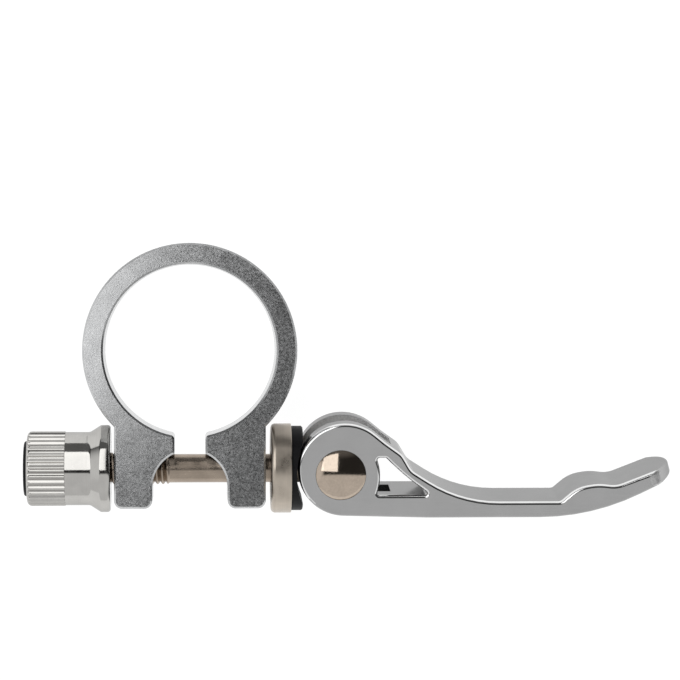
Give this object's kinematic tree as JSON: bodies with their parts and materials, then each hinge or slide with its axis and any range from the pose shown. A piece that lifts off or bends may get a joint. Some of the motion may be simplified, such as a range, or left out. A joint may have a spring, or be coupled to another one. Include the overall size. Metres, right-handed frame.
{
  "type": "quick-release seatpost clamp",
  "caption": "Split aluminium collar that grips a bicycle seat tube, drawn tight by a skewer with a knurled thumb nut and a forked cam lever that bears on a cupped plastic pad.",
  "frame": {"origin": "middle of the collar's bore, on its axis", "axes": "+Z along the bore, +X along the skewer towards the lever, and the clamp ears point to -Y"},
  "size_m": [0.1203, 0.0507, 0.0182],
  "materials": {
    "collar_aluminium": "fine bead-blasted satin",
    "skewer_steel": "rolled, warm nickel tone",
    "nut_polish": "bright polished",
    "black_nylon": "smooth matte",
    "washer_nickel": "nickel plated, slightly mottled",
    "black_pad": "smooth matte",
    "barrel_nickel": "polished nickel",
    "lever_aluminium": "satin polished"
  },
  "bodies": {
    "collar": {"collar": "collar_aluminium"},
    "skewer": {"skewer_rod": "skewer_steel"},
    "nut": {"thumb_nut": "nut_polish", "nut_lock_ring": "black_nylon"},
    "barrel": {"barrel_pin": "barrel_nickel"},
    "lever": {"cam_lever": "lever_aluminium"},
    "cam_seat": {"cup_washer": "washer_nickel", "cam_pad": "black_pad"}
  },
  "joints": [
    {"name": "skewer_draw", "type": "slide", "parent": "collar", "child": "skewer", "axis": [1, 0, 0], "range_m": [0, 0.00067]},
    {"name": "nut_turn", "type": "hinge", "parent": "skewer", "child": "nut", "pos_m": [-0.0225, -0.022, 0], "axis": [1, 0, 0], "continuous": true},
    {"name": "lever_swivel", "type": "hinge", "parent": "skewer", "child": "barrel", "pos_m": [0.02771, -0.022, 0], "axis": [1, 0, 0], "continuous": true},
    {"name": "lever_cam", "type": "hinge", "parent": "barrel", "child": "lever", "pos_m": [0.02771, -0.022, 0], "axis": [0, -0.1305, 0.9914], "range_deg": [0, 90]},
    {"name": "seat_slide", "type": "slide", "parent": "barrel", "child": "cam_seat", "axis": [-1, 0, 0], "range_m": [0, 0.00162]}
  ],
  "couplings": [
    {"joint": "skewer_draw", "follows": "lever_cam", "m_per_rad": 0.00042017},
    {"joint": "seat_slide", "follows": "lever_cam", "m_per_rad": 0.001025}
  ]
}
